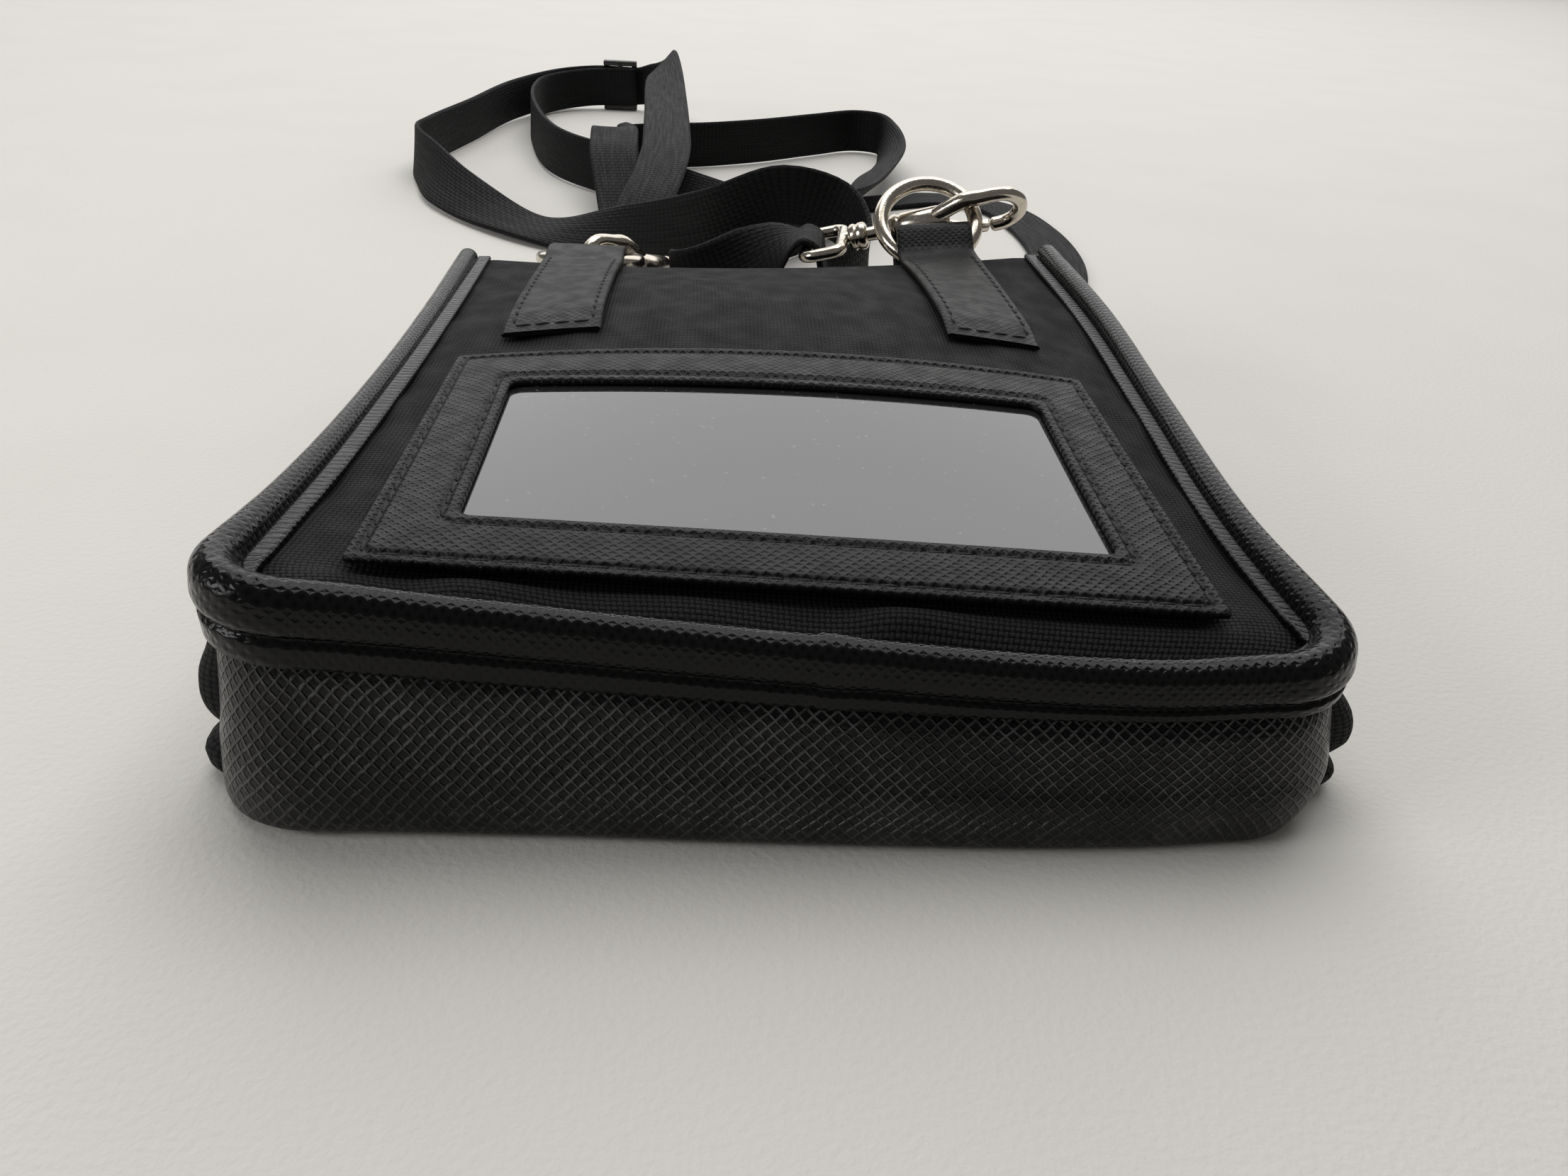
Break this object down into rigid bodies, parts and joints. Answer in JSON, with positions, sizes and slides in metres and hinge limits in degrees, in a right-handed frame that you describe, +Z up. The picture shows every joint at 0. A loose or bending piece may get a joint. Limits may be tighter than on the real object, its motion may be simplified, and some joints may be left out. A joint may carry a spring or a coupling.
{
  "type": "phone crossbody pouch",
  "caption": "Flat nylon and leather phone pouch with a card window, piped edge, tab rings, snap hooks and an adjustable webbing strap, worn across the body.",
  "frame": {"origin": "on the floor under the middle of the pouch, on the underside of the lower panel", "axes": "+X to the pouch's right, +Y from the closed base to the open mouth, +Z up"},
  "size_m": [0.2049, 0.4663, 0.0373],
  "materials": {
    "nylon": "fine ribbed black nylon, matt",
    "leather": "black cross-hatch embossed leather, half gloss",
    "clear_film": "clear glossy film over the dark panel",
    "nickel": "polished pale nickel",
    "webbing": "black woven webbing",
    "slider": "dark painted slider"
  },
  "bodies": {
    "pouch": {"front_panel": "nylon", "back_panel": "nylon", "side_gusset_left": "nylon", "side_gusset_right": "nylon", "base_gusset": "leather", "edge_piping": "leather", "window_frame": "leather", "tab_left": "leather", "tab_right": "leather", "window_pane": "clear_film", "ring_left": "nickel", "ring_right": "nickel", "hook_body_left": "nickel", "hook_body_right": "nickel", "hook_swivel_left": "nickel", "hook_swivel_right": "nickel", "strap": "webbing", "strap_slider": "slider"},
    "gate_left": {"hook_gate_left": "nickel"},
    "gate_right": {"hook_gate_right": "nickel"}
  },
  "joints": [
    {"name": "gate_left_hinge", "type": "hinge", "parent": "pouch", "child": "gate_left", "pos_m": [-0.02627, 0.09738, 0.01172], "axis": [-0.789, 0.602, -0.123], "range_deg": [0, 24], "stiffness_Nm_per_rad": 0.02, "springref_deg": -11.46},
    {"name": "gate_right_hinge", "type": "hinge", "parent": "pouch", "child": "gate_right", "pos_m": [0.04069, 0.08814, 0.02783], "axis": [0.057, -0.788, -0.613], "range_deg": [0, 24], "stiffness_Nm_per_rad": 0.02, "springref_deg": -11.46}
  ]
}
